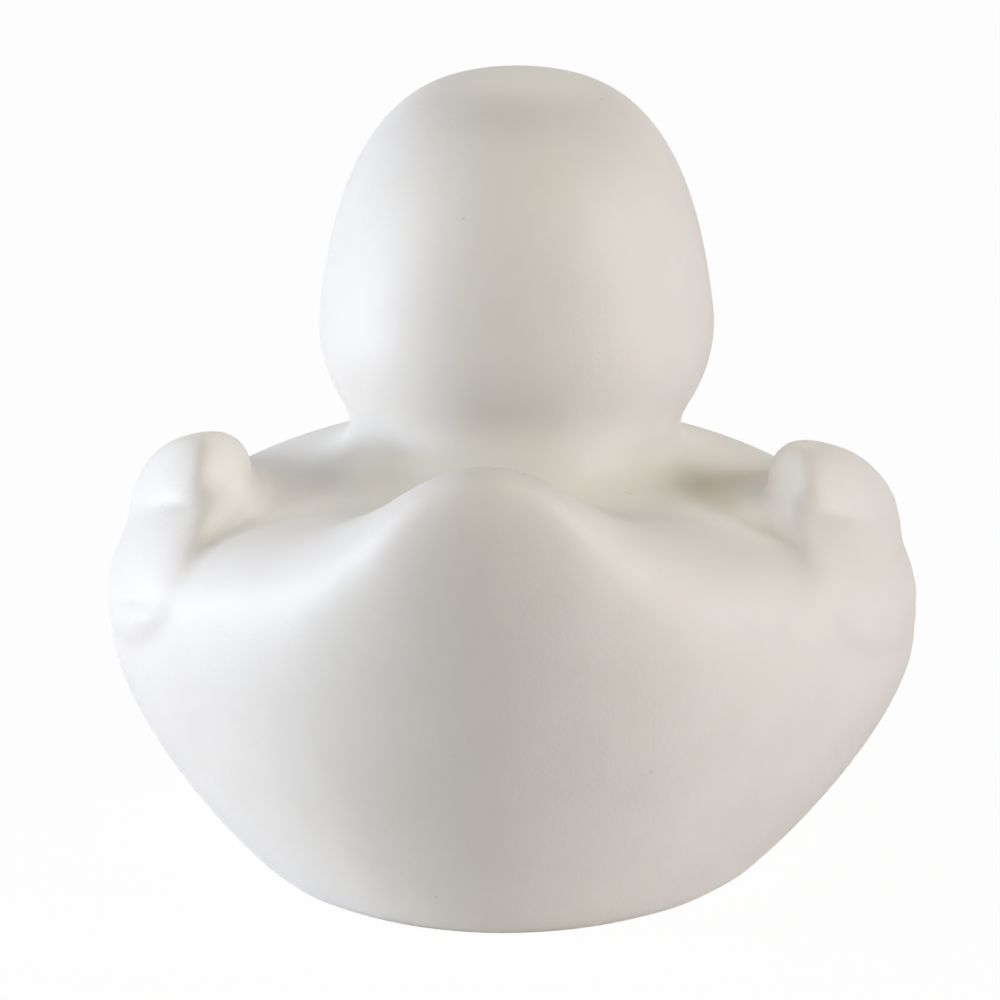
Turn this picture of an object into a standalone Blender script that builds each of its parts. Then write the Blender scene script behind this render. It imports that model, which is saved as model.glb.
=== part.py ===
"""A hollow white vinyl duck, moulded in one piece, for the bath or the desk.

It stands on its flat base at z = 0 and faces +Y, with +X to its right. The origin is the middle of the base.
The skin is fused from plain forms: the hull with its raised tail, the head on its neck, the bill, three
feathers a side and the eyes. Each form is a unit ball whose points are moved into shape. The hollow is a
second, plainer skin inside, and a small vent opens it through the base. All sizes are in metres, and angles
in degrees.
"""

from collections import namedtuple
from math import cos, radians, sin

import bpy
import numpy as np

# The moulding
WALL = 0.0020
VENT_DIAMETER = 0.0030
VENT_AHEAD = 0.0090  # from the middle of the base towards the bill
TAIL_FILL = 0.0100  # solid end of the tail, too narrow to stay hollow
VINYL_WHITE = (0.87, 0.86, 0.84, 1.0)
VINYL_ROUGHNESS = 0.45

# The hull
HULL_LENGTH = 0.0790
CHEST_AHEAD = 0.0360  # from the middle of the base to the chest's end
HULL_BEAM = 0.0752
TAIL_HEIGHT = 0.0467

# The hull's lines at each station, before its two ends are rounded off: how far along from the tail in parts
# of the length, the beam in parts of the hull's beam, and heights in parts of the tail's height. A squareness
# of 2 makes a quarter of the section round, less makes it a gable and more makes it boxy.
Station = namedtuple("Station", "along beam keel widest back below above")
STATIONS = (
    Station(along=0.000, beam=0.080, keel=0.801, widest=0.895, back=0.989, below=1.90, above=1.9),
    Station(along=0.025, beam=0.207, keel=0.657, widest=0.831, back=1.000, below=1.80, above=1.9),
    Station(along=0.063, beam=0.330, keel=0.443, widest=0.739, back=0.985, below=1.70, above=1.9),
    Station(along=0.101, beam=0.434, keel=0.261, widest=0.655, back=0.942, below=1.68, above=2.0),
    Station(along=0.165, beam=0.574, keel=-0.006, widest=0.565, back=0.872, below=1.68, above=2.4),
    Station(along=0.241, beam=0.718, keel=-0.146, widest=0.503, back=0.818, below=1.66, above=2.9),
    Station(along=0.342, beam=0.867, keel=-0.214, widest=0.454, back=0.771, below=1.60, above=3.0),
    Station(along=0.519, beam=1.000, keel=-0.236, widest=0.426, back=0.779, below=1.54, above=2.7),
    Station(along=0.696, beam=0.984, keel=-0.236, widest=0.424, back=0.850, below=1.56, above=2.5),
    Station(along=0.873, beam=0.851, keel=-0.124, widest=0.443, back=0.848, below=1.70, above=2.2),
    Station(along=1.000, beam=0.691, keel=0.056, widest=0.463, back=0.784, below=2.00, above=2.0),
)
TAIL_BLUNTNESS = 60.0
CHEST_BLUNTNESS = 2.6

# The head
HEAD_AHEAD = 0.0080
HEAD_CENTRE_HEIGHT = 0.0484
HEAD_WIDTH = 0.0374
HEAD_DEPTH = 0.0400
CROWN_RISE = 0.0236
CROWN_TAPER = 0.16  # how much narrower the crown would be at its top than at the cheeks, as a share
CROWN_SQUARENESS = 2.9
JAW_DROP = 0.0160

# The shoulders, a low cone on the back that the neck stands in
SHOULDERS_AHEAD = 0.0050
SHOULDERS_HEIGHT = 0.0331
SHOULDERS_WIDTH = 0.0440
SHOULDERS_LENGTH = 0.0460
SHOULDERS_RISE = 0.0120
SHOULDERS_SQUARENESS = 1.1

# The neck, which fills the hollow under the back of the head
NECK_AHEAD = 0.0055
NECK_HEIGHT = 0.0367
NECK_WIDTH = 0.0306
NECK_LENGTH = 0.0355
NECK_RISE = 0.0125

# The bill
BILL_HEIGHT = 0.0451  # of the mouth
BILL_REACH = 0.0145  # out of the face
BILL_WIDTH = 0.0185
UPPER_BILL_THICKNESS = 0.0072
LOWER_BILL_THICKNESS = 0.0062
LOWER_BILL_SHORTER = 0.0025
MOUTH_GAP = -0.0026  # between the two halves, which run into each other inside the mouth
BILL_CURL = 0.0022

# The wings: each feather runs from a root to a tip. Both lie so far along the hull from the tail, in parts of
# its length, at an angle round its section. The flare, width and thickness are parts of the sizes here.
FEATHER_WIDTH = 0.0160
FEATHER_THICKNESS = 0.0104
ROOT_DEPTH = 0.0060  # of a feather's root under the hull's skin
WING_FLARE = 0.0019  # of the top feather's tip off the hull's skin
TIP_BLUNTNESS = 4.0
Feather = namedtuple("Feather", "root root_angle tip tip_angle flare lean width thick")
FEATHERS = (
    Feather(root=0.823, root_angle=24, tip=0.392, tip_angle=45, flare=1.0, lean=28, width=0.93, thick=1.0),
    Feather(root=0.835, root_angle=18, tip=0.380, tip_angle=26, flare=-0.7, lean=16, width=1.0, thick=0.9),
    Feather(root=0.823, root_angle=8, tip=0.367, tip_angle=5, flare=-2.5, lean=0, width=0.81, thick=0.77),
)

# The eyes, raised from the face
EYE_WIDTH = 0.0078
EYE_TALL = 0.0096
EYE_RELIEF = 0.0012
EYE_ABOVE_CENTRE = 0.0050
EYE_ROUND_FROM_FRONT = 42.0

# The mesh
SKIN_VOXEL = 0.0010
SKIN_FAIRING = 14
SKIN_SHARE_KEPT = 0.10
HOLLOW_VOXEL = 0.0014
HOLLOW_FAIRING = 8
HOLLOW_SHARE_KEPT = 0.16
BALL_SEGMENTS = 96
BALL_RINGS = 64
VENT_SIDES = 24
OVERSHOOT = 0.0100  # how far a cutter passes the face it cuts

CHEST_END = CHEST_AHEAD
TAIL_END = CHEST_END - HULL_LENGTH
LINE_SIZES = {"beam": HULL_BEAM, "keel": TAIL_HEIGHT, "widest": TAIL_HEIGHT, "back": TAIL_HEIGHT}


def unit_ball():
    """The points and faces of a ball of radius 1 with its poles on Y, which every form is made from."""
    bpy.ops.mesh.primitive_uv_sphere_add(
        segments=BALL_SEGMENTS, ring_count=BALL_RINGS, radius=1.0, rotation=(radians(90), 0, 0)
    )
    made = bpy.context.object
    turn = np.array(made.matrix_world.to_3x3())
    points = np.array([v.co for v in made.data.vertices]) @ turn.T
    faces = [tuple(p.vertices) for p in made.data.polygons]
    bpy.data.objects.remove(made)
    return points, faces


def fair(at, stations, values):
    """A fair curve through the values at the stations: cubic pieces that share their slopes."""
    stations, values = np.array(stations), np.array(values)
    slopes = np.gradient(values, stations)
    i = np.clip(np.searchsorted(stations, at) - 1, 0, len(stations) - 2)
    run = stations[i + 1] - stations[i]
    u = (at - stations[i]) / run
    start = (1 + 2 * u) * (1 - u) ** 2 * values[i] + u * (1 - u) ** 2 * run * slopes[i]
    end = u * u * (3 - 2 * u) * values[i + 1] - u * u * (1 - u) * run * slopes[i + 1]
    return start + end


def hull_line(name, y):
    """One of the hull's lines at y: the beam, keel, widest or back line, or a squareness."""
    along = (y - TAIL_END) / HULL_LENGTH
    shares = fair(along, [s.along for s in STATIONS], [getattr(s, name) for s in STATIONS])
    return shares * LINE_SIZES.get(name, 1)


def slope_of(name, y):
    step = HULL_LENGTH / 500
    return (hull_line(name, y + step) - hull_line(name, y - step)) / (2 * step)


def squared(direction, squareness):
    """A cosine or sine bent so that a circle becomes a superellipse."""
    return np.sign(direction) * np.abs(direction) ** (2 / squareness)


def hull_section(y, across, up, inset=0.0):
    """x and z of the hull at y, in the direction whose cosine and sine are across and up.

    An inset is measured square to the skin, so it takes more off a section where the hull's lines slope.
    """
    squareness = np.where(up > 0, hull_line("above", y), hull_line("below", y))
    half_beam = hull_line("beam", y) / 2
    widest = hull_line("widest", y)
    rise = np.where(up > 0, hull_line("back", y) - widest, widest - hull_line("keel", y))
    if inset:
        half_beam = half_beam - inset * np.hypot(1, slope_of("beam", y) / 2)
        rise = rise - inset * np.where(up > 0, 1, np.hypot(1, slope_of("keel", y)))
    return half_beam * squared(across, squareness), widest + rise * squared(up, squareness)


def hull(ball, rear=TAIL_END, front=CHEST_END, inset=0.0):
    """The hull's points between two ends, with each end rounded off."""
    along = np.clip(ball[:, 1], -1, 1)
    around = np.hypot(ball[:, 0], ball[:, 2])
    around[around == 0] = 1
    y = (rear + front) / 2 + along * (front - rear) / 2
    x, z = hull_section(y, ball[:, 0] / around, ball[:, 2] / around, inset)
    bluntness = np.where(along < 0, TAIL_BLUNTNESS, CHEST_BLUNTNESS)
    closing = np.sqrt(1 - np.abs(along) ** bluntness)
    axis = hull_line("widest", y)
    return np.column_stack([x * closing, y, axis + (z - axis) * closing])


def head(ball, inset=0.0):
    """The head's points: an egg with a full crown that tapers a little and a rounder jaw."""
    level = np.hypot(ball[:, 0], ball[:, 1])
    up = ball[:, 2]
    squareness = np.where(up > 0, CROWN_SQUARENESS, 2.0)
    rise = squared(up, squareness)
    out = squared(level, squareness) * (1 - CROWN_TAPER * np.clip(rise, 0, None))
    level[level == 0] = 1
    height = np.where(up > 0, CROWN_RISE, JAW_DROP) - inset
    return np.column_stack([
        ball[:, 0] / level * out * (HEAD_WIDTH / 2 - inset),
        HEAD_AHEAD + ball[:, 1] / level * out * (HEAD_DEPTH / 2 - inset),
        HEAD_CENTRE_HEIGHT + rise * height,
    ])


def shoulders(ball):
    level = np.hypot(ball[:, 0], ball[:, 1])
    spread = squared(level, SHOULDERS_SQUARENESS)
    level[level == 0] = 1
    return np.column_stack([
        ball[:, 0] / level * spread * SHOULDERS_WIDTH / 2,
        SHOULDERS_AHEAD + ball[:, 1] / level * spread * SHOULDERS_LENGTH / 2,
        SHOULDERS_HEIGHT + squared(ball[:, 2], SHOULDERS_SQUARENESS) * SHOULDERS_RISE,
    ])


def neck(ball, inset=0.0):
    size = np.array([NECK_WIDTH / 2, NECK_LENGTH / 2, NECK_RISE]) - inset
    return ball * size + np.array([0, NECK_AHEAD, NECK_HEIGHT])


def bill(ball, thickness, shorter, lift):
    """One half of the bill: a flat oval with its root in the face, curling up towards its end."""
    face = HEAD_AHEAD + HEAD_DEPTH / 2
    length = BILL_REACH - shorter
    y = face + ball[:, 1] * length
    curl = BILL_CURL * np.clip((y - face) / BILL_REACH, 0, None) ** 2
    return np.column_stack([
        ball[:, 0] * BILL_WIDTH / 2 * (1 - shorter / BILL_REACH),
        y,
        BILL_HEIGHT + lift + ball[:, 2] * thickness / 2 + curl,
    ])


def feather(ball, shape, side):
    """One feather, laid along the side of the hull from a buried root to a blunt tip that stands off."""
    share = (1 - np.clip(ball[:, 1], -1, 1)) / 2
    y = TAIL_END + HULL_LENGTH * (shape.root + (shape.tip - shape.root) * share)
    angle = np.radians(shape.root_angle + (shape.tip_angle - shape.root_angle) * share)
    off = shape.flare * WING_FLARE * share - ROOT_DEPTH * (1 - share)
    step = radians(1.0)
    before = np.column_stack(hull_section(y, np.cos(angle - step), np.sin(angle - step)))
    after = np.column_stack(hull_section(y, np.cos(angle + step), np.sin(angle + step)))
    along = (after - before) / np.linalg.norm(after - before, axis=1, keepdims=True)
    off_x, off_z = along[:, 1] * off, -along[:, 0] * off
    x, z = hull_section(y, np.cos(angle), np.sin(angle))

    around = np.hypot(ball[:, 0], ball[:, 2])
    around[around == 0] = 1
    bluntness = np.where(ball[:, 1] < 0, TIP_BLUNTNESS, 2.0)
    closing = (1 - np.abs(np.clip(ball[:, 1], -1, 1)) ** bluntness) ** (1 / bluntness)
    thick = ball[:, 0] / around * closing * shape.thick * FEATHER_THICKNESS / 2
    wide = ball[:, 2] / around * closing * shape.width * FEATHER_WIDTH / 2
    lean = radians(shape.lean)
    x = x + off_x + thick * cos(lean) - wide * sin(lean)
    z = z + off_z + thick * sin(lean) + wide * cos(lean)
    return np.column_stack([side * x, y, z])


def eye(ball, side):
    """A raised oval on the face, turned to face the way that the skin does there."""
    turn = side * radians(EYE_ROUND_FROM_FRONT)
    out = np.array([sin(turn), cos(turn), 0.0])
    across = np.array([cos(turn), -sin(turn), 0.0])
    rise = EYE_ABOVE_CENTRE / CROWN_RISE
    level = (1 - rise**CROWN_SQUARENESS) ** (1 / CROWN_SQUARENESS)
    seat = out * np.array([HEAD_WIDTH, HEAD_DEPTH, 0]) / 2 * level
    seat += np.array([0, HEAD_AHEAD, HEAD_CENTRE_HEIGHT + EYE_ABOVE_CENTRE])
    deep = EYE_RELIEF * 3
    axes = np.array([across * EYE_WIDTH / 2, out * deep, np.array([0, 0, EYE_TALL / 2])])
    return seat - out * (deep - EYE_RELIEF) + ball @ axes


def fused(name, forms, faces, voxel, fairing, share_kept):
    """One closed skin from forms that overlap, with soft joins and its flat stretches thinned out."""
    points = np.concatenate(forms)
    every = [tuple(i + n * len(forms[0]) for i in face) for n in range(len(forms)) for face in faces]
    mesh = bpy.data.meshes.new(name)
    mesh.from_pydata(points.tolist(), [], every)
    obj = bpy.data.objects.new(name, mesh)
    bpy.context.scene.collection.objects.link(obj)
    for name in ("one skin", "even skin"):
        remesh = obj.modifiers.new(name, "REMESH")
        remesh.mode = "VOXEL"
        remesh.voxel_size = voxel
        smooth = obj.modifiers.new("soft joins", "SMOOTH")
        smooth.iterations = fairing
    thin = obj.modifiers.new("fewer faces", "DECIMATE")
    thin.ratio = share_kept
    thin.use_symmetry = True
    thin.symmetry_axis = "X"
    return obj


def as_cutter(obj):
    obj.hide_render = True
    obj.display_type = "WIRE"
    return obj


def block_under(name, top):
    """A cutter that fills everything below the height top."""
    side = (CHEST_END - TAIL_END) * 2
    deep = OVERSHOOT * 2
    bpy.ops.mesh.primitive_cube_add(size=1, location=(0, 0, top - deep / 2))
    block = bpy.context.object
    block.name = name
    block.scale = (side, side, deep)
    return as_cutter(block)


def vent_drill():
    depth = 2 * (WALL + OVERSHOOT)
    bpy.ops.mesh.primitive_cylinder_add(
        vertices=VENT_SIDES, radius=VENT_DIAMETER / 2, depth=depth, location=(0, VENT_AHEAD, 0)
    )
    bpy.context.object.name = "vent_drill"
    return as_cutter(bpy.context.object)


def cut(obj, cutter):
    step = obj.modifiers.new("cut by " + cutter.name, "BOOLEAN")
    step.operation = "DIFFERENCE"
    step.solver = "EXACT"
    step.object = cutter


def vinyl():
    material = bpy.data.materials.new("white_vinyl")
    material.use_nodes = True
    shader = material.node_tree.nodes["Principled BSDF"]
    shader.inputs["Base Color"].default_value = VINYL_WHITE
    shader.inputs["Roughness"].default_value = VINYL_ROUGHNESS
    shader.inputs["Metallic"].default_value = 0.0
    return material


def main():
    for old in list(bpy.data.objects):
        bpy.data.objects.remove(old)

    ball, faces = unit_ball()
    outside = [
        hull(ball),
        head(ball),
        shoulders(ball),
        neck(ball),
        bill(ball, UPPER_BILL_THICKNESS, 0.0, (UPPER_BILL_THICKNESS + MOUTH_GAP) / 2),
        bill(ball, LOWER_BILL_THICKNESS, LOWER_BILL_SHORTER, -(LOWER_BILL_THICKNESS + MOUTH_GAP) / 2),
    ]
    for side in (-1, 1):
        outside += [feather(ball, shape, side) for shape in FEATHERS]
        outside.append(eye(ball, side))
    inside = [
        hull(ball, TAIL_END + TAIL_FILL, CHEST_END - WALL, WALL),
        head(ball, WALL),
        neck(ball, WALL),
    ]

    duck = fused("duck", outside, faces, SKIN_VOXEL, SKIN_FAIRING, SKIN_SHARE_KEPT)
    hollow = as_cutter(fused("hollow", inside, faces, HOLLOW_VOXEL, HOLLOW_FAIRING, HOLLOW_SHARE_KEPT))
    cut(hollow, block_under("inner_floor", WALL))
    cut(duck, block_under("ground", 0.0))
    cut(duck, hollow)
    cut(duck, vent_drill())
    duck.data.materials.append(vinyl())


main()
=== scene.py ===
# %% [markdown]
# # A white vinyl duck, seen from behind
#
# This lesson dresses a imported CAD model: a duck moulded in one piece from soft white vinyl. The CAD skin is coarse,
# so here the same forms are fused again with small faces, and the vinyl gets its grain. Every cell starts with what
# the piece is on the real duck, how it could be made, and why this way was chosen. All sizes are in metres.

# %% Load the frame
from collections import namedtuple
from math import cos, radians, sin

import bpy
import numpy as np
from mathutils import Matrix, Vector


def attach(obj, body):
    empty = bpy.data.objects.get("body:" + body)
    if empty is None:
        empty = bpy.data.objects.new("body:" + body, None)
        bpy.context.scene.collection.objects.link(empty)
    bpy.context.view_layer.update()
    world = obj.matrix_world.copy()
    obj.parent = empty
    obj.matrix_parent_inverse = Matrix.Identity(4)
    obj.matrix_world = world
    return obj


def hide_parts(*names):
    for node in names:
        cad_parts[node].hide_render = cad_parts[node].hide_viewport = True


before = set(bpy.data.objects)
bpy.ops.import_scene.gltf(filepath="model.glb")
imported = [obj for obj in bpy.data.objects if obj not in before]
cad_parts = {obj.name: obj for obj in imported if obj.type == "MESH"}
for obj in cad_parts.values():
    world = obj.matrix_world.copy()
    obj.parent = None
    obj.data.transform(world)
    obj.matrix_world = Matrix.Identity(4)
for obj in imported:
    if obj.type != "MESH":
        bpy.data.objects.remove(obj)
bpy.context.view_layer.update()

# %% [markdown]
# ## One ball for every form
#
# A toy sculptor starts a duck as clay: an egg for the head, a bigger one for the hull, and pieces laid on. The hull
# could also be drawn as a cage of a few hundred points for a subdivision surface, but then each change of one size
# means moving many points. Here each form is one ball whose points are moved by a formula, so a size is one number.

# %% The ball
BALL_SEGMENTS = 160
BALL_RINGS = 112


def unit_ball():
    """The points and faces of a ball of radius 1 with its poles on Y."""
    bpy.ops.mesh.primitive_uv_sphere_add(
        segments=BALL_SEGMENTS, ring_count=BALL_RINGS, radius=1.0, rotation=(radians(90), 0, 0)
    )
    made = bpy.context.object
    turn = np.array(made.matrix_world.to_3x3())
    points = np.array([v.co for v in made.data.vertices]) @ turn.T
    faces = [tuple(p.vertices) for p in made.data.polygons]
    bpy.data.objects.remove(made)
    return points, faces


ball, ball_faces = unit_ball()
print("ball:", len(ball), "points,", len(ball_faces), "faces")

# %% [markdown]
# ## The hull and its tail
#
# The hull floats like a boat, so it is drawn as a boat builder would: at a few stations along its length, with the
# half beam, the keel, the widest line and the back. Fair curves run through them. Each section is squarer above at
# the deck than at the tail, which gives the real tail its crest and its two soft ridges.

# %% Hull lines
Station = namedtuple("Station", "y half_beam keel widest back below above")
STATIONS = (
    Station(y=-0.0430, half_beam=0.0030, keel=0.0374, widest=0.0418, back=0.0462, below=1.90, above=1.9),
    Station(y=-0.0410, half_beam=0.0078, keel=0.0307, widest=0.0388, back=0.0467, below=1.80, above=1.9),
    Station(y=-0.0380, half_beam=0.0124, keel=0.0207, widest=0.0345, back=0.0460, below=1.70, above=1.9),
    Station(y=-0.0350, half_beam=0.0163, keel=0.0122, widest=0.0306, back=0.0440, below=1.68, above=2.0),
    Station(y=-0.0300, half_beam=0.0216, keel=-0.0003, widest=0.0264, back=0.0407, below=1.68, above=2.4),
    Station(y=-0.0240, half_beam=0.0270, keel=-0.0068, widest=0.0235, back=0.0382, below=1.66, above=2.9),
    Station(y=-0.0160, half_beam=0.0326, keel=-0.0100, widest=0.0212, back=0.0360, below=1.60, above=3.0),
    Station(y=-0.0020, half_beam=0.0376, keel=-0.0110, widest=0.0199, back=0.0360, below=1.54, above=2.5),
    Station(y=0.0120, half_beam=0.0370, keel=-0.0110, widest=0.0198, back=0.0390, below=1.56, above=2.3),
    Station(y=0.0260, half_beam=0.0320, keel=-0.0058, widest=0.0207, back=0.0396, below=1.70, above=2.2),
    Station(y=0.0360, half_beam=0.0260, keel=0.0026, widest=0.0216, back=0.0366, below=2.00, above=2.0),
)
TAIL_END = -0.0426
CHEST_END = STATIONS[-1].y
TAIL_BLUNTNESS = 60.0
CHEST_BLUNTNESS = 2.6


def fair(at, stations, values):
    """A fair curve through the values at the stations: cubic pieces that share their slopes."""
    stations, values = np.array(stations), np.array(values)
    slopes = np.gradient(values, stations)
    i = np.clip(np.searchsorted(stations, at) - 1, 0, len(stations) - 2)
    run = stations[i + 1] - stations[i]
    u = (at - stations[i]) / run
    start = (1 + 2 * u) * (1 - u) ** 2 * values[i] + u * (1 - u) ** 2 * run * slopes[i]
    end = u * u * (3 - 2 * u) * values[i + 1] - u * u * (1 - u) * run * slopes[i + 1]
    return start + end


def hull_line(name, y):
    """One of the hull's lines, read at y."""
    return fair(y, [s.y for s in STATIONS], [getattr(s, name) for s in STATIONS])


def squared(direction, squareness):
    """A cosine or sine bent so that a circle becomes a superellipse."""
    return np.sign(direction) * np.abs(direction) ** (2 / squareness)


def hull_section(y, across, up):
    """x and z of the hull at y, in the direction whose cosine and sine are across and up."""
    squareness = np.where(up > 0, hull_line("above", y), hull_line("below", y))
    widest = hull_line("widest", y)
    rise = np.where(up > 0, hull_line("back", y) - widest, widest - hull_line("keel", y))
    x = hull_line("half_beam", y) * squared(across, squareness)
    return x, widest + rise * squared(up, squareness)


def round_a_pole(points):
    """Cosine and sine of each point's direction round the Y axis."""
    around = np.hypot(points[:, 0], points[:, 2])
    around[around == 0] = 1
    return points[:, 0] / around, points[:, 2] / around


def hull():
    along = np.clip(ball[:, 1], -1, 1)
    y = (TAIL_END + CHEST_END) / 2 + along * (CHEST_END - TAIL_END) / 2
    x, z = hull_section(y, *round_a_pole(ball))
    bluntness = np.where(along < 0, TAIL_BLUNTNESS, CHEST_BLUNTNESS)
    closing = np.sqrt(1 - np.abs(along) ** bluntness)
    axis = hull_line("widest", y)
    return np.column_stack([x * closing, y, axis + (z - axis) * closing])


forms = [hull()]
print("hull in mm:", [round(float(v) * 1000, 1) for v in np.ptp(forms[0], axis=0)])

# %% [markdown]
# ## Head and nape
#
# The head is an egg standing on its narrow end: widest at the cheeks, with a full crown that narrows upwards. A
# plain scaled ball would look too pointed, so its rings are squared and tapered. The nape is a low cone under the
# head, because the real head runs into the back in one soft sweep, and the neck inside it fills the hollow under the
# head's back.

# %% Head and nape
HEAD_AHEAD = 0.0080
HEAD_CENTRE_HEIGHT = 0.0484
HEAD_WIDTH = 0.0374
HEAD_DEPTH = 0.0400
CROWN_RISE = 0.0235
CROWN_TAPER = 0.16
CROWN_SQUARENESS = 2.9
JAW_DROP = 0.0160
NAPE_AHEAD = 0.0050
NAPE_HEIGHT = 0.0331
NAPE_WIDTH = 0.0440
NAPE_LENGTH = 0.0460
NAPE_RISE = 0.0120
NAPE_SQUARENESS = 1.1
NECK_AHEAD = 0.0055
NECK_HEIGHT = 0.0367
NECK_WIDTH = 0.0306
NECK_LENGTH = 0.0355
NECK_RISE = 0.0125


def flat_direction():
    """How far each point of the ball is from its upright axis, and in which direction."""
    level = np.hypot(ball[:, 0], ball[:, 1])
    safe = np.where(level == 0, 1, level)
    return level, ball[:, 0] / safe, ball[:, 1] / safe


def head():
    level, across, along = flat_direction()
    squareness = np.where(ball[:, 2] > 0, CROWN_SQUARENESS, 2.0)
    rise = squared(ball[:, 2], squareness)
    out = squared(level, squareness) * (1 - CROWN_TAPER * np.clip(rise, 0, None))
    return np.column_stack([
        across * out * HEAD_WIDTH / 2,
        HEAD_AHEAD + along * out * HEAD_DEPTH / 2,
        HEAD_CENTRE_HEIGHT + rise * np.where(ball[:, 2] > 0, CROWN_RISE, JAW_DROP),
    ])


def nape():
    level, across, along = flat_direction()
    spread = squared(level, NAPE_SQUARENESS)
    return np.column_stack([
        across * spread * NAPE_WIDTH / 2,
        NAPE_AHEAD + along * spread * NAPE_LENGTH / 2,
        NAPE_HEIGHT + squared(ball[:, 2], NAPE_SQUARENESS) * NAPE_RISE,
    ])


def neck():
    """The back of the head runs straight down here, with no hollow under it."""
    size = np.array([NECK_WIDTH / 2, NECK_LENGTH / 2, NECK_RISE])
    return ball * size + np.array([0, NECK_AHEAD, NECK_HEIGHT])


forms += [head(), nape(), neck()]
print("head top at", round(float(forms[1][:, 2].max()) * 1000, 1), "mm")

# %% [markdown]
# ## Wings of three feathers
#
# Each wing is three thick feathers that start buried in the side and lift off towards the tail. Their tips aren't
# blunt: both sides are cut back to a soft ridge, and the upper part ends further forward, so that the warm inner face
# shows from behind. They could be sculpted out of the hull, but as forms of their own they fan out evenly.

# %% Feathers
Feather = namedtuple("Feather", "root_y root_angle root_off tip_y tip_angle tip_off lean width thickness")
FEATHERS = (
    Feather(0.0220, 24.0, -0.0075, -0.0165, 46.0, 0.0042, lean=9.0, width=0.0130, thickness=0.0104),
    Feather(0.0230, 18.0, -0.0080, -0.0218, 27.5, 0.0009, lean=21.0, width=0.0152, thickness=0.0096),
    Feather(0.0220, 8.0, -0.0080, -0.0190, 5.0, -0.0010, lean=4.0, width=0.0136, thickness=0.0080),
)
TIP_BLUNTNESS = 4.0
INNER_SLANT = 1.4  # how steeply the inner side of a tip is cut back
OUTER_SLANT = 0.6
UPPER_SLANT = 0.5
RIDGE_OUT = 0.10  # where the two sides of a tip meet, in parts of the thickness out from its middle


def feather(shape, side):
    """One feather, laid along the hull from its root to its tip."""
    share = (1 - np.clip(ball[:, 1], -1, 1)) / 2
    y = shape.root_y + (shape.tip_y - shape.root_y) * share
    angle = np.radians(shape.root_angle + (shape.tip_angle - shape.root_angle) * share)
    off = shape.root_off + (shape.tip_off - shape.root_off) * share
    step = radians(1.0)
    before = np.column_stack(hull_section(y, np.cos(angle - step), np.sin(angle - step)))
    after = np.column_stack(hull_section(y, np.cos(angle + step), np.sin(angle + step)))
    skin = (after - before) / np.linalg.norm(after - before, axis=1, keepdims=True)
    x, z = hull_section(y, np.cos(angle), np.sin(angle))

    bluntness = np.where(ball[:, 1] < 0, TIP_BLUNTNESS, 2.0)
    closing = (1 - np.abs(np.clip(ball[:, 1], -1, 1)) ** bluntness) ** (1 / bluntness)
    across, up = round_a_pole(ball)
    thick = across * closing * shape.thickness / 2
    wide = up * closing * shape.width / 2
    inside = RIDGE_OUT * shape.thickness - thick
    y = y + share * (INNER_SLANT * np.clip(inside, 0, None) + OUTER_SLANT * np.clip(-inside, 0, None))
    y = y + share * UPPER_SLANT * (wide + shape.width / 2)
    lean = radians(shape.lean)
    x = x + skin[:, 1] * off + thick * cos(lean) - wide * sin(lean)
    z = z - skin[:, 0] * off + thick * sin(lean) + wide * cos(lean)
    return np.column_stack([side * x, y, z])


for side in (-1, 1):
    forms += [feather(shape, side) for shape in FEATHERS]
print("half span over the feathers:", round(max(float(f[:, 0].max()) for f in forms) * 1000, 1), "mm")

# %% [markdown]
# ## Bill and eyes
#
# The photo doesn't show the face, so it is the plain one that such ducks have: a short closed bill that turns up a
# little, and raised ovals for the eyes, all in the same white vinyl.

# %% Bill and eyes
BILL_HEIGHT = 0.0451
BILL_REACH = 0.0133
BILL_WIDTH = 0.0185
UPPER_BILL_THICKNESS = 0.0072
LOWER_BILL_THICKNESS = 0.0062
LOWER_BILL_SHORTER = 0.0025
MOUTH_GAP = -0.0026
BILL_CURL = 0.0022
EYE_WIDTH = 0.0078
EYE_TALL = 0.0096
EYE_RELIEF = 0.0012
EYE_ABOVE_CENTRE = 0.0050
EYE_ROUND_FROM_FRONT = 42.0


def bill(thickness, shorter, lift):
    """One half of the bill, with its root in the face."""
    face = HEAD_AHEAD + HEAD_DEPTH / 2
    y = face + ball[:, 1] * (BILL_REACH - shorter)
    curl = BILL_CURL * np.clip((y - face) / BILL_REACH, 0, None) ** 2
    return np.column_stack([
        ball[:, 0] * BILL_WIDTH / 2 * (1 - shorter / BILL_REACH),
        y,
        BILL_HEIGHT + lift + ball[:, 2] * thickness / 2 + curl,
    ])


def eye(side):
    """A raised oval that faces the way the skin does there."""
    turn = side * radians(EYE_ROUND_FROM_FRONT)
    out = np.array([sin(turn), cos(turn), 0.0])
    across = np.array([cos(turn), -sin(turn), 0.0])
    rise = EYE_ABOVE_CENTRE / CROWN_RISE
    level = (1 - rise**CROWN_SQUARENESS) ** (1 / CROWN_SQUARENESS)
    seat = out * np.array([HEAD_WIDTH, HEAD_DEPTH, 0]) / 2 * level
    seat += np.array([0, HEAD_AHEAD, HEAD_CENTRE_HEIGHT + EYE_ABOVE_CENTRE])
    deep = EYE_RELIEF * 3
    axes = np.array([across * EYE_WIDTH / 2, out * deep, np.array([0, 0, EYE_TALL / 2])])
    return seat - out * (deep - EYE_RELIEF) + ball @ axes


forms.append(bill(UPPER_BILL_THICKNESS, 0.0, (UPPER_BILL_THICKNESS + MOUTH_GAP) / 2))
forms.append(bill(LOWER_BILL_THICKNESS, LOWER_BILL_SHORTER, -(LOWER_BILL_THICKNESS + MOUTH_GAP) / 2))
forms += [eye(side) for side in (-1, 1)]
print("forms:", len(forms))

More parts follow.
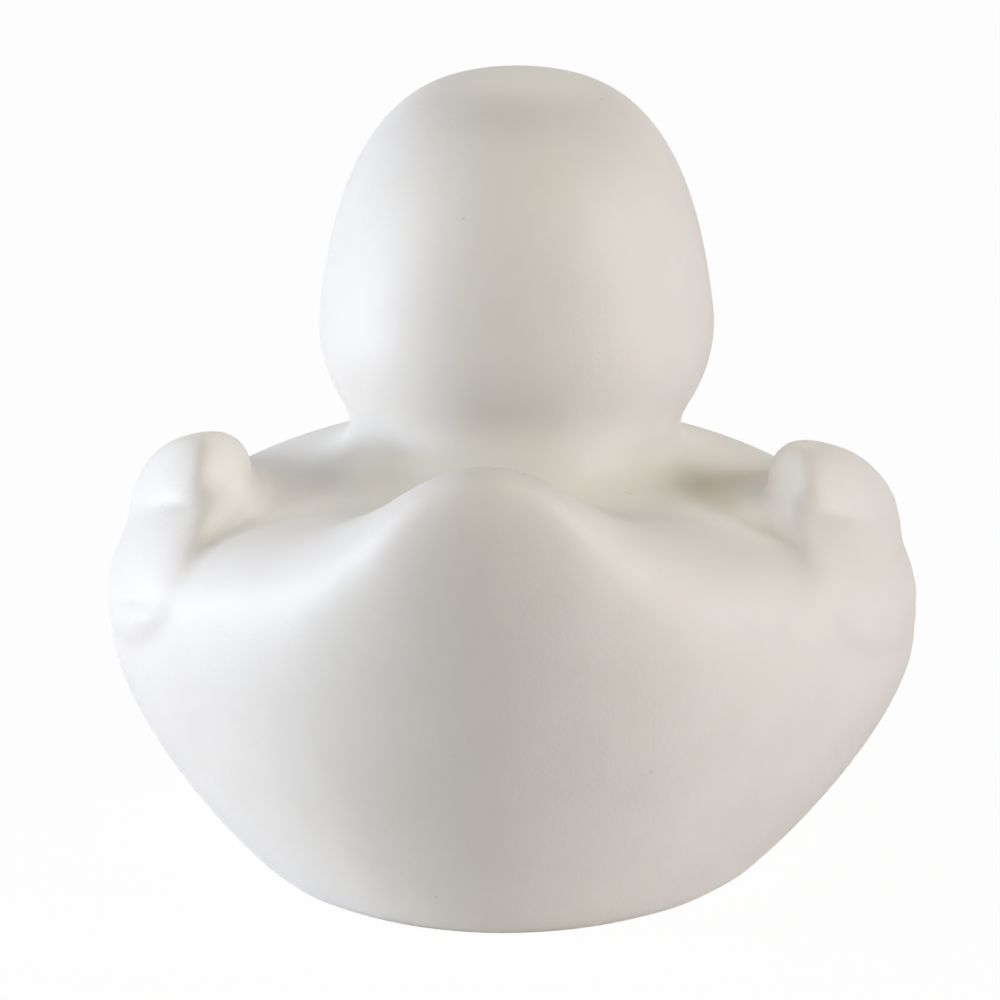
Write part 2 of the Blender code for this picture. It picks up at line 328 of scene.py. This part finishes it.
# %% [markdown]
# ## One soft skin
#
# Slush-moulded vinyl has no seams and no sharp inner corners. A Boolean union would leave hard creases, so the forms
# are fused by a voxel remesh, and a smoothing softens it. The neck is softened much more than the grooves of the
# feathers, through a vertex group that fades out around it.

# %% Fuse and soften
FINE_VOXEL = 0.00055
FIRST_FAIRING = 4
LAST_FAIRING = 8
NECK_FAIRING = 70
VALLEY_FAIRING = 110
VALLEY_CENTRE = np.array((0.0215, -0.0030, 0.0350))
VALLEY_REACH = 0.0115
NECK_CENTRE = Vector((0, 0.0020, 0.0401))
NECK_REACH = Vector((0.0200, 0.0240, 0.0075))


def fused(name, parts):
    """A mesh object of all the forms, each still closed by itself."""
    every = [tuple(i + n * len(ball) for i in face) for n in range(len(parts)) for face in ball_faces]
    mesh = bpy.data.meshes.new(name)
    mesh.from_pydata(np.concatenate(parts).tolist(), [], every)
    obj = bpy.data.objects.new(name, mesh)
    bpy.context.scene.collection.objects.link(obj)
    return obj


def settle(obj):
    """Turn the object's modifiers into its mesh."""
    graph = bpy.context.evaluated_depsgraph_get()
    settled = bpy.data.meshes.new_from_object(obj.evaluated_get(graph), depsgraph=graph)
    obj.modifiers.clear()
    obj.data = settled


def remesh(obj, voxel):
    step = obj.modifiers.new("one skin", "REMESH")
    step.mode = "VOXEL"
    step.voxel_size = voxel


def soften(obj, times, group=""):
    step = obj.modifiers.new("soften", "SMOOTH")
    step.iterations = times
    step.vertex_group = group


def points_of(obj):
    points = np.empty(len(obj.data.vertices) * 3, dtype=np.float32)
    obj.data.vertices.foreach_get("co", points)
    return points.reshape(-1, 3).astype(float)


def move_points(obj, points):
    obj.data.vertices.foreach_set("co", points.astype(np.float32).ravel())
    obj.data.update()


duck = fused("duck_skin", forms)
remesh(duck, FINE_VOXEL)
soften(duck, FIRST_FAIRING)
remesh(duck, FINE_VOXEL)
soften(duck, LAST_FAIRING)
settle(duck)

points = points_of(duck)
away = (points - np.array(NECK_CENTRE)) / np.array(NECK_REACH)
weights = np.exp(-(away**2).sum(axis=1))
neck_area = duck.vertex_groups.new(name="neck")
for i in np.nonzero(weights > 0.02)[0]:
    neck_area.add([int(i)], float(weights[i]), "REPLACE")
soften(duck, NECK_FAIRING, "neck")
settle(duck)


def normals_of(obj):
    normals = np.empty(len(obj.data.vertices) * 3, dtype=np.float32)
    obj.data.vertex_normals.foreach_get("vector", normals)
    return normals.reshape(-1, 3).astype(float)


def fill_valleys(obj, times, centre, reach):
    """Near a place on both sides, follow a smoothing only where it moves outwards: this fills inner corners."""
    before, normals = points_of(obj), normals_of(obj)
    soften(obj, times)
    settle(obj)
    outwards = ((points_of(obj) - before) * normals).sum(axis=1)
    one_side = np.column_stack([np.abs(before[:, 0]), before[:, 1:]])
    near = np.exp(-((((one_side - centre) / reach) ** 2).sum(axis=1)) ** 2)
    move_points(obj, before + normals * (np.clip(outwards, 0, None) * near)[:, None])


fill_valleys(duck, VALLEY_FAIRING, VALLEY_CENTRE, VALLEY_REACH)
print("skin:", len(duck.data.polygons), "faces")

# %% [markdown]
# ## Pressed lines
#
# The mould has fine lines: two down each wing between the feathers, and the nostrils on the bill. They could be cut
# with thin tubes and a Boolean, which leaves hard edges. Here each line is a row of places just off the skin, and
# the skin's points near it are pressed in by a soft amount that fades towards the line's front end.

# %% Press the lines
FEATHER_LINES = (
    ((0.0295, -0.0150, 0.0368), (0.0350, -0.0090, 0.0342), (0.0390, 0.0180, 0.0285)),
    ((0.0320, -0.0190, 0.0268), (0.0385, -0.0080, 0.0238), (0.0390, 0.0180, 0.0225)),
)
LINE_DEPTH = 0.00030
LINE_WIDTH = 0.0009
LINE_STEPS = 90
EVEN_OUT = 5
FADE_IN = 0.15
NOSTRIL = ((0.0030, 0.0315, 0.0500), (0.0030, 0.0332, 0.0500))
NOSTRIL_DEPTH = 0.0006


def pressed(points, corners, depth, width, fade):
    """How far each point goes in: soft dents along a path that is first snapped to the skin and evened out."""
    share = np.linspace(0, 1, LINE_STEPS)
    knots = np.linspace(0, 1, len(corners))
    path = np.column_stack([np.interp(share, knots, axis) for axis in np.transpose(corners)])
    snapped = np.array([points[((points - place) ** 2).sum(axis=1).argmin()] for place in path])
    ends = np.concatenate([snapped[:1]] * EVEN_OUT + [snapped] + [snapped[-1:]] * EVEN_OUT)
    even = np.ones(2 * EVEN_OUT + 1) / (2 * EVEN_OUT + 1)
    path = np.column_stack([np.convolve(axis, even, "valid") for axis in ends.T])
    amount = np.zeros(len(points))
    for place, gone in zip(path, share):
        gap = ((points - place) ** 2).sum(axis=1)
        strength = min(1.0, gone / FADE_IN) * (1 - fade * gone)
        amount = np.maximum(amount, depth * strength * np.exp(-2 * gap / width**2))
    return amount


points, normals = points_of(duck), normals_of(duck)
amount = np.zeros(len(points))
for side in (-1, 1):
    mirror = np.array((side, 1, 1))
    for line in FEATHER_LINES:
        amount = np.maximum(amount, pressed(points, np.array(line) * mirror, LINE_DEPTH, LINE_WIDTH, 1.0))
    amount = np.maximum(amount, pressed(points, np.array(NOSTRIL) * mirror, NOSTRIL_DEPTH, LINE_WIDTH, 0.0))
move_points(duck, points - normals * amount[:, None])
print("points pressed in:", int((amount > 0.00005).sum()))

# %% [markdown]
# ## The flat base and its vent
#
# The real duck stands on a level base with a worn, rounded rim. A cut by a plane would leave a hard edge, so each
# point's height is passed through a soft limit instead, which flattens the belly and rounds the rim at once. The air
# hole is a real hole with a crisp edge, so that one is a Boolean cut.

# %% Flatten the base
RIM_SOFTNESS = 0.0005
VENT_DIAMETER = 0.0030
VENT_AHEAD = 0.0090
VENT_DEPTH = 0.0020
SHARP_FROM = radians(50)

points = points_of(duck)
z = points[:, 2]
points[:, 2] = (z + np.sqrt(z * z + RIM_SOFTNESS**2)) / 2
points[:, 2] -= points[:, 2].min()
move_points(duck, points)

bpy.ops.mesh.primitive_cylinder_add(
    vertices=48, radius=VENT_DIAMETER / 2, depth=2 * VENT_DEPTH, location=(0, VENT_AHEAD, 0)
)
cutter = bpy.context.object
step = duck.modifiers.new("vent", "BOOLEAN")
step.operation = "DIFFERENCE"
step.object = cutter
step.solver = "EXACT"
settle(duck)
bpy.data.objects.remove(cutter)
duck.data.shade_smooth()
duck.data.set_sharp_from_angle(angle=SHARP_FROM)
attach(duck, "root")
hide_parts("duck")
print("duck in mm:", [round(float(v) * 1000, 1) for v in np.ptp(points, axis=0)])

# %% [markdown]
# ## Shader maths that reads like maths
#
# A mask such as `1 - spots * 0.3` takes three nodes and five links by hand. The class below holds one output of a
# node, and Python's own operators add the Math nodes. Every other node comes from one method, add.


# %% A wire and a tree
class Wire:
    """One output of a node."""

    def __init__(self, tree, socket):
        self.tree = tree
        self.socket = socket

    def __getitem__(self, name):
        """Another output of the same node."""
        return Wire(self.tree, self.socket.node.outputs[name])

    def with_math(self, operation, first, second):
        return self.tree.add("Math", {"operation": operation}, {0: first, 1: second})

    def __add__(self, other):
        return self.with_math("ADD", self, other)

    def __radd__(self, other):
        return self.with_math("ADD", other, self)

    def __sub__(self, other):
        return self.with_math("SUBTRACT", self, other)

    def __rsub__(self, other):
        return self.with_math("SUBTRACT", other, self)

    def __mul__(self, other):
        return self.with_math("MULTIPLY", self, other)

    def __rmul__(self, other):
        return self.with_math("MULTIPLY", other, self)

    def __lt__(self, other):
        return self.with_math("LESS_THAN", self, other)

    def either(self, other):
        return self.with_math("MAXIMUM", self, other)


class Tree:
    """The nodes of a material or of the world."""

    def __init__(self, owner):
        owner.use_nodes = True
        self.tree = owner.node_tree
        self.tree.nodes.clear()

    def add(self, kind, settings=None, sockets=None):
        """A new node of a kind, with its settings made before its sockets are filled; gives its first output."""
        node = self.tree.nodes.new("ShaderNode" + kind)
        for name, value in (settings or {}).items():
            if name == "stops":
                for element, (place, colour) in zip(node.color_ramp.elements, value):
                    element.position = place
                    element.color = colour
            else:
                setattr(node, name, value)
        for name, value in (sockets or {}).items():
            if isinstance(value, Wire):
                self.tree.links.new(value.socket, node.inputs[name])
            else:
                node.inputs[name].default_value = value
        return Wire(self, node.outputs[0]) if node.outputs else None


# %% [markdown]
# ## White vinyl
#
# Soft white vinyl is matt with a satin bloom, lets a little light in, and carries the fine grain of its mould. A few
# dark specks are baked in. A plain diffuse white would look like plaster: the low gloss and the light under the
# skin are what make it vinyl, and the grain is a bump from a fine noise.

# %% The vinyl
VINYL = (0.86, 0.848, 0.820, 1)
VINYL_SHADE = (0.842, 0.828, 0.798, 1)
SPECK = (0.36, 0.34, 0.31, 1)
GRAIN_PER_METRE = 2600
MOTTLE_PER_METRE = 160
SPECKS_PER_METRE = 130


def make_vinyl():
    material = bpy.data.materials.new("white_vinyl_skin")
    tree = Tree(material)
    place = tree.add("TexCoord")["Object"]
    mottle = tree.add("TexNoise", {}, {"Vector": place, "Scale": MOTTLE_PER_METRE, "Detail": 3.0})
    grain = tree.add("TexNoise", {}, {"Vector": place, "Scale": GRAIN_PER_METRE, "Detail": 2.0})
    cells = tree.add("TexVoronoi", {}, {"Vector": place, "Scale": SPECKS_PER_METRE})
    speck = cells["Distance"] < 0.024

    colours = tree.add("ValToRGB", {"stops": ((0.35, VINYL_SHADE), (0.65, VINYL))}, {"Fac": mottle})
    specked = tree.add("MixRGB", {}, {"Fac": speck * 0.25, "Color1": colours, "Color2": SPECK})
    bump = tree.add("Bump", {}, {"Strength": 0.35, "Distance": 0.00006, "Height": grain})
    shader = tree.add(
        "BsdfPrincipled",
        {},
        {
            "Base Color": specked,
            "Roughness": 0.40 + grain * 0.12 + mottle * 0.06,
            "Normal": bump,
            "Specular IOR Level": 0.35,
            "Subsurface Weight": 0.22,
            "Subsurface Radius": (1.0, 0.92, 0.82),
            "Subsurface Scale": 0.0030,
        },
    )
    tree.add("OutputMaterial", {}, {"Surface": shader})
    return material


duck.data.materials.clear()
duck.data.materials.append(make_vinyl())

# %% [markdown]
# ## Floor and background
#
# The photo's background is pure white. The world shows white to the camera and to reflections only, so it adds no
# flat light to the duck, and the floor shows the camera mostly white as well, with a trace of the duck's shadow.

# %% Floor and world
FLOOR_SIZE = 4.0
FLOOR_WHITE = (0.90, 0.90, 0.90, 1)
FLOOR_GLOW_SHARE = 0.97
WORLD_LIGHT = (0.0, 0.0, 0.0, 1)


def make_floor():
    bpy.ops.mesh.primitive_plane_add(size=FLOOR_SIZE, location=(0, 0, 0))
    floor = bpy.context.object
    floor.name = "studio_floor"
    material = bpy.data.materials.new("studio_floor")
    tree = Tree(material)
    seen = tree.add("LightPath")["Is Camera Ray"]
    matt = tree.add("BsdfDiffuse", {}, {"Color": FLOOR_WHITE})
    glow = tree.add("Emission", {}, {"Color": (1, 1, 1, 1), "Strength": 1.0})
    mixed = tree.add("MixShader", {}, {0: seen * FLOOR_GLOW_SHARE, 1: matt, 2: glow})
    tree.add("OutputMaterial", {}, {"Surface": mixed})
    floor.data.materials.append(material)
    return floor


def make_world():
    world = bpy.data.worlds.new("studio")
    bpy.context.scene.world = world
    tree = Tree(world)
    path = tree.add("LightPath")
    shown = path["Is Camera Ray"].either(path["Is Transmission Ray"]).either(path["Is Glossy Ray"])
    light = tree.add("Background", {}, {"Color": WORLD_LIGHT, "Strength": 1.0})
    white = tree.add("Background", {}, {"Color": (1, 1, 1, 1), "Strength": 1.0})
    mixed = tree.add("MixShader", {}, {0: shown, 1: light, 2: white})
    tree.add("OutputWorld", {}, {"Surface": mixed})


make_floor()
make_world()

# %% [markdown]
# ## Camera
#
# The photo was taken from behind, a little to the duck's right and a little above, with a long lens. The lens is
# worked out from the photo's scale, so that the duck fills the frame as it does there.

# %% Camera
VIEW_AZIMUTH = 3.3
VIEW_ELEVATION = 15.0
VIEW_DISTANCE = 0.65
FRAME_WIDTH = 0.09372
SENSOR_MM = 36.0
AIM = Vector((-0.0011, 0.0, 0.0328))


def away_at(azimuth, elevation):
    """The direction from the duck to something seen at these angles, where azimuth 0 is straight behind it."""
    a, e = radians(azimuth), radians(elevation)
    return Vector((sin(a) * cos(e), -cos(a) * cos(e), sin(e)))


def aimed(obj, direction, distance, target):
    obj.location = target + direction * distance
    obj.rotation_euler = (-direction).to_track_quat("-Z", "Y").to_euler()


lens = bpy.data.cameras.new("camera")
lens.sensor_width = SENSOR_MM
lens.lens = SENSOR_MM * VIEW_DISTANCE / FRAME_WIDTH
camera = bpy.data.objects.new("camera", lens)
bpy.context.scene.collection.objects.link(camera)
aimed(camera, away_at(VIEW_AZIMUTH, VIEW_ELEVATION), VIEW_DISTANCE, AIM)
bpy.context.scene.camera = camera
print("lens:", round(lens.lens), "mm")

# %% [markdown]
# ## Light
#
# Tall walls of light stand at the duck's sides, a cool one on the left and a weaker warm one on the right. One big
# lamp a side would do, but the colour changes with height in the photo: bluest low on the left, yellow high on the
# right. So each wall is a few lamps one above the other. It stays dark behind the camera, which is what draws the
# soft dark band down the middle of the duck.

# %% Softboxes
Softbox = namedtuple("Softbox", "name azimuth elevation distance width height watts colour")
SOFTBOXES = (
    Softbox("left_low", -90.0, 2.0, 0.60, 0.24, 0.06, 1.22, (0.58, 0.69, 1.0)),
    Softbox("left_softbox", -70.0, 20.0, 0.60, 0.24, 0.16, 0.89, (0.98, 1.0, 0.93)),
    Softbox("left_high", -70.0, 45.0, 0.60, 0.24, 0.20, 0.49, (0.90, 0.95, 1.0)),
    Softbox("left_reflector", -90.0, -2.0, 0.30, 0.20, 0.04, 0.26, (1.0, 0.95, 0.91)),
    Softbox("right_low", 80.0, 2.0, 0.60, 0.24, 0.06, 0.39, (1.0, 0.64, 0.94)),
    Softbox("right_softbox", 70.0, 20.0, 0.60, 0.24, 0.16, 1.57, (0.91, 0.98, 1.0)),
    Softbox("right_high", 45.0, 45.0, 0.60, 0.24, 0.20, 0.52, (1.0, 0.70, 0.15)),
    Softbox("front_softbox", 180.0, 35.0, 0.60, 0.24, 0.20, 0.44, (1.0, 0.95, 0.84)),
    Softbox("top_softbox", 0.0, 84.0, 0.60, 0.24, 0.20, 0.16, (0.78, 0.76, 1.0)),
    Softbox("camera_fill", 0.0, 2.0, 0.60, 0.24, 0.06, 0.14, (0.77, 0.74, 1.0)),
)


def make_softbox(box):
    light = bpy.data.lights.new(box.name, "AREA")
    light.shape = "RECTANGLE"
    light.size = box.width
    light.size_y = box.height
    light.energy = box.watts
    light.color = box.colour
    obj = bpy.data.objects.new(box.name, light)
    bpy.context.scene.collection.objects.link(obj)
    aimed(obj, away_at(box.azimuth, box.elevation), box.distance, Vector((0, 0, 0.035)))


for box in SOFTBOXES:
    make_softbox(box)

# %% [markdown]
# ## Colours as written
#
# The Standard view shows a colour as it was written, so white stays white.

# %% Finish
bpy.context.scene.view_settings.view_transform = "Standard"
